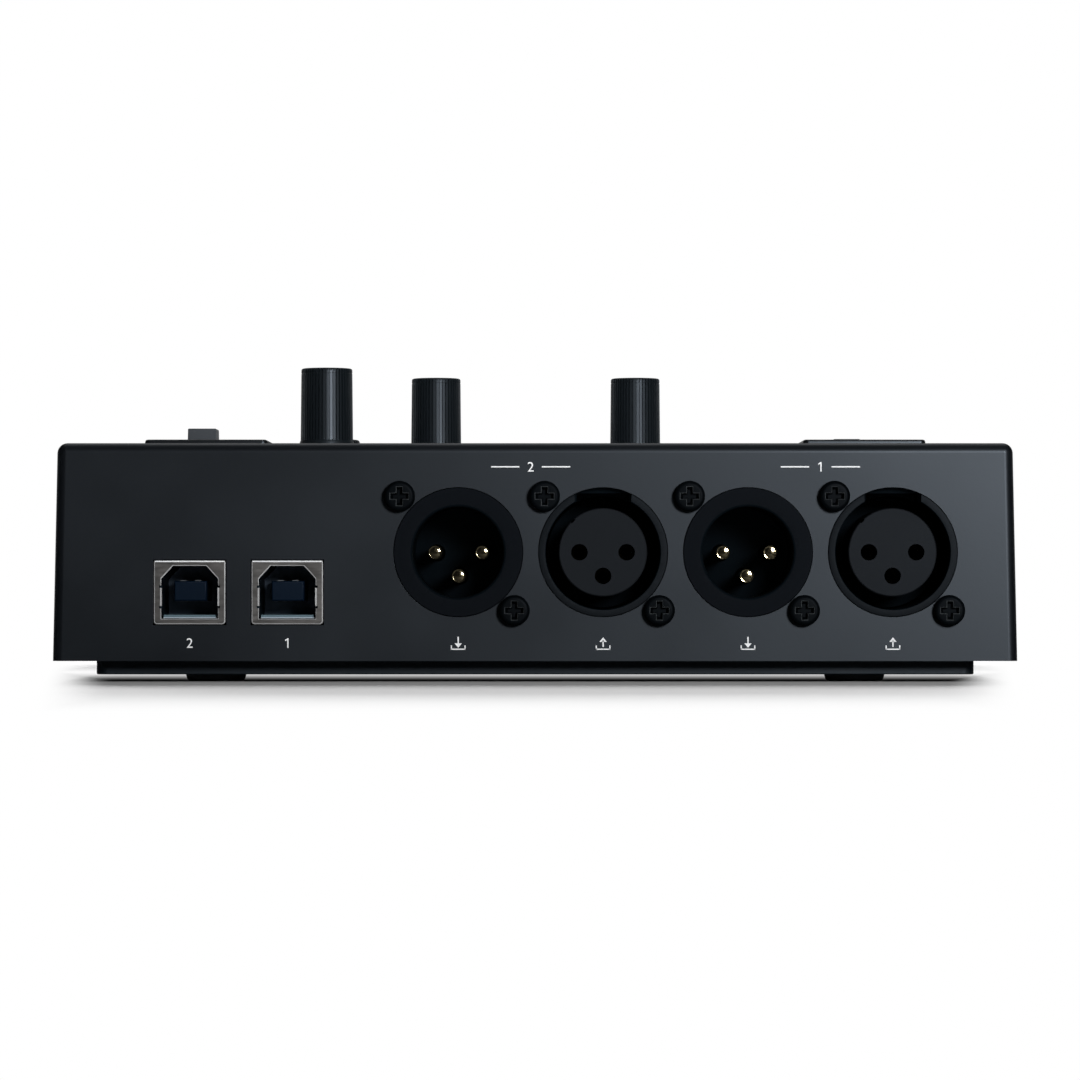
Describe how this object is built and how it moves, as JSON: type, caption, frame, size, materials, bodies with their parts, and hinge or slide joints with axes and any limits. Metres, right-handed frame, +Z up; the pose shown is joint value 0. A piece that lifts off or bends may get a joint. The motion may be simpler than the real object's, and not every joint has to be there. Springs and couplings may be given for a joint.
{
  "type": "lighting controller",
  "caption": "Compact desktop lighting controller: faders, knobs, a round button and pads on a flat top, three-pin lighting sockets and square data ports on the rear panel.",
  "frame": {"origin": "on the desk under the middle of the controller's outline, screw heads on the rear panel included", "axes": "+Z up, +Y towards the rear panel with its sockets, -Y towards the user, +X to the user's right"},
  "size_m": [0.1634, 0.1898, 0.0562],
  "materials": {
    "case_paint": "fine satin, dark slate",
    "cover_paint": "black powder coat",
    "foot_rubber": "matt black",
    "black_screw": "black oxide",
    "socket_plastic": "satin black",
    "insert_plastic": "fine grained black",
    "gold_pin": "gold plated",
    "nickel_shell": "nickel plated, warm grey",
    "port_plastic": "dark blue-black",
    "circuit_board": "green solder mask",
    "ribbon_plastic": "grey",
    "knob_plastic": "satin black",
    "button_plastic": "satin black",
    "pad_rubber": "matt dark grey",
    "fader_plate_plastic": "semi-gloss black",
    "track_metal": "plain",
    "bright_steel": "turned",
    "fader_cap_plastic": "satin grey"
  },
  "bodies": {
    "root": {"top_shell": "case_paint", "bottom_cover": "cover_paint", "foot_1": "foot_rubber", "foot_2": "foot_rubber", "foot_3": "foot_rubber", "foot_4": "foot_rubber", "case_screw_1": "black_screw", "case_screw_2": "black_screw", "case_screw_3": "black_screw", "case_screw_4": "black_screw", "socket_housing_in_1": "socket_plastic", "socket_housing_in_2": "socket_plastic", "socket_housing_out_1": "socket_plastic", "socket_housing_out_2": "socket_plastic", "socket_insert_out_1": "insert_plastic", "socket_insert_out_2": "insert_plastic", "socket_pin_in_1_1": "gold_pin", "socket_pin_in_1_2": "gold_pin", "socket_pin_in_1_3": "gold_pin", "socket_pin_in_2_1": "gold_pin", "socket_pin_in_2_2": "gold_pin", "socket_pin_in_2_3": "gold_pin", "socket_screw_in_1_1": "black_screw", "socket_screw_in_1_2": "black_screw", "socket_screw_in_2_1": "black_screw", "socket_screw_in_2_2": "black_screw", "socket_screw_out_1_1": "black_screw", "socket_screw_out_1_2": "black_screw", "socket_screw_out_2_1": "black_screw", "socket_screw_out_2_2": "black_screw", "usb_shell_1": "nickel_shell", "usb_shell_2": "nickel_shell", "usb_tongue_1": "port_plastic", "usb_tongue_2": "port_plastic", "main_board": "circuit_board", "control_board": "circuit_board", "ribbon_cable": "ribbon_plastic", "fader_plate_right": "fader_plate_plastic", "fader_plate_left": "fader_plate_plastic", "fader_track_right": "track_metal", "fader_track_left": "track_metal"},
    "right_fader": {"fader_cap_right": "fader_cap_plastic", "fader_lever_right": "bright_steel"},
    "left_fader": {"fader_cap_left": "fader_cap_plastic", "fader_lever_left": "bright_steel"},
    "first_knob": {"knob_1": "knob_plastic", "encoder_shaft_1": "bright_steel"},
    "second_knob": {"knob_2": "knob_plastic", "encoder_shaft_2": "bright_steel"},
    "third_knob": {"knob_3": "knob_plastic", "encoder_shaft_3": "bright_steel"},
    "button": {"round_button": "button_plastic"},
    "pad_key_1": {"pad_1": "pad_rubber"},
    "pad_key_2": {"pad_2": "pad_rubber"},
    "pad_key_3": {"pad_3": "pad_rubber"},
    "pad_key_4": {"pad_4": "pad_rubber"},
    "pad_key_5": {"pad_5": "pad_rubber"},
    "pad_key_6": {"pad_6": "pad_rubber"},
    "pad_key_7": {"pad_7": "pad_rubber"},
    "pad_key_8": {"pad_8": "pad_rubber"}
  },
  "joints": [
    {"name": "right_fader_slide", "type": "slide", "parent": "root", "child": "right_fader", "axis": [0, 1, 0], "range_m": [-0.054, 0.006]},
    {"name": "left_fader_slide", "type": "slide", "parent": "root", "child": "left_fader", "axis": [0, 1, 0], "range_m": [0, 0.06]},
    {"name": "knob_1_turn", "type": "hinge", "parent": "root", "child": "first_knob", "pos_m": [0.0382, 0.03285, 0.0406], "axis": [0, 0, 1], "continuous": true},
    {"name": "knob_2_turn", "type": "hinge", "parent": "root", "child": "second_knob", "pos_m": [0.0191, -0.00535, 0.0406], "axis": [0, 0, 1], "continuous": true},
    {"name": "knob_3_turn", "type": "hinge", "parent": "root", "child": "third_knob", "pos_m": [-0.0191, -0.00535, 0.0406], "axis": [0, 0, 1], "continuous": true},
    {"name": "round_button_press", "type": "slide", "parent": "root", "child": "button", "axis": [0, 0, -1], "range_m": [0, 0.0008], "stiffness_N_per_m": 500, "springref_m": -0.001},
    {"name": "pad_1_press", "type": "slide", "parent": "root", "child": "pad_key_1", "axis": [0, 0, -1], "range_m": [0, 0.0008], "stiffness_N_per_m": 800, "springref_m": -0.001},
    {"name": "pad_2_press", "type": "slide", "parent": "root", "child": "pad_key_2", "axis": [0, 0, -1], "range_m": [0, 0.0008], "stiffness_N_per_m": 800, "springref_m": -0.001},
    {"name": "pad_3_press", "type": "slide", "parent": "root", "child": "pad_key_3", "axis": [0, 0, -1], "range_m": [0, 0.0008], "stiffness_N_per_m": 800, "springref_m": -0.001},
    {"name": "pad_4_press", "type": "slide", "parent": "root", "child": "pad_key_4", "axis": [0, 0, -1], "range_m": [0, 0.0008], "stiffness_N_per_m": 800, "springref_m": -0.001},
    {"name": "pad_5_press", "type": "slide", "parent": "root", "child": "pad_key_5", "axis": [0, 0, -1], "range_m": [0, 0.0008], "stiffness_N_per_m": 800, "springref_m": -0.001},
    {"name": "pad_6_press", "type": "slide", "parent": "root", "child": "pad_key_6", "axis": [0, 0, -1], "range_m": [0, 0.0008], "stiffness_N_per_m": 800, "springref_m": -0.001},
    {"name": "pad_7_press", "type": "slide", "parent": "root", "child": "pad_key_7", "axis": [0, 0, -1], "range_m": [0, 0.0008], "stiffness_N_per_m": 800, "springref_m": -0.001},
    {"name": "pad_8_press", "type": "slide", "parent": "root", "child": "pad_key_8", "axis": [0, 0, -1], "range_m": [0, 0.0008], "stiffness_N_per_m": 800, "springref_m": -0.001}
  ]
}
